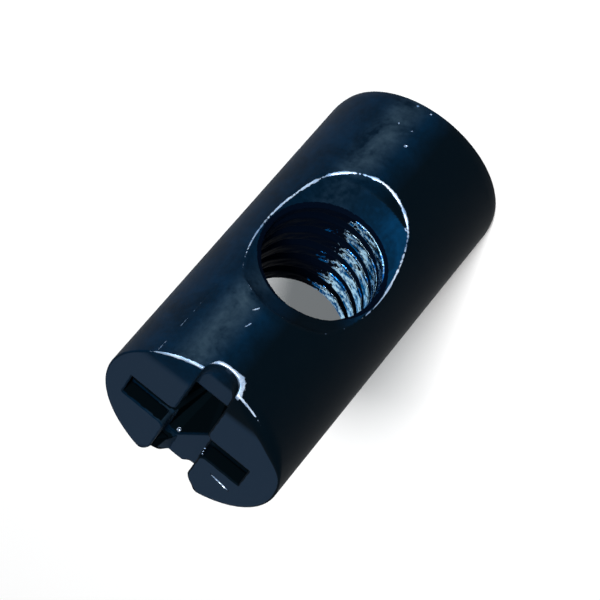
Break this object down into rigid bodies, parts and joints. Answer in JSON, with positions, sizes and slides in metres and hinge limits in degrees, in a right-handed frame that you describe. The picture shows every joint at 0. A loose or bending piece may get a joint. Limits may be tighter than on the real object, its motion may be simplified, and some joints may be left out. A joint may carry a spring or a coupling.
{
  "type": "barrel nut",
  "caption": "Steel barrel nut: a short cylinder with a countersunk, threaded cross hole and a slotted cross recess in one end.",
  "frame": {"origin": "centre of the plain end face, on which the nut stands", "axes": "+Z along the barrel to the driven end, -Y out of the cross hole towards the bolt"},
  "size_m": [0.0096, 0.0096, 0.0191],
  "materials": {
    "coated_steel": "glossy blue black coating over steel, worn to bare metal on edges and thread"
  },
  "bodies": {
    "root": {"barrel_nut": "coated_steel"}
  },
  "joints": []
}
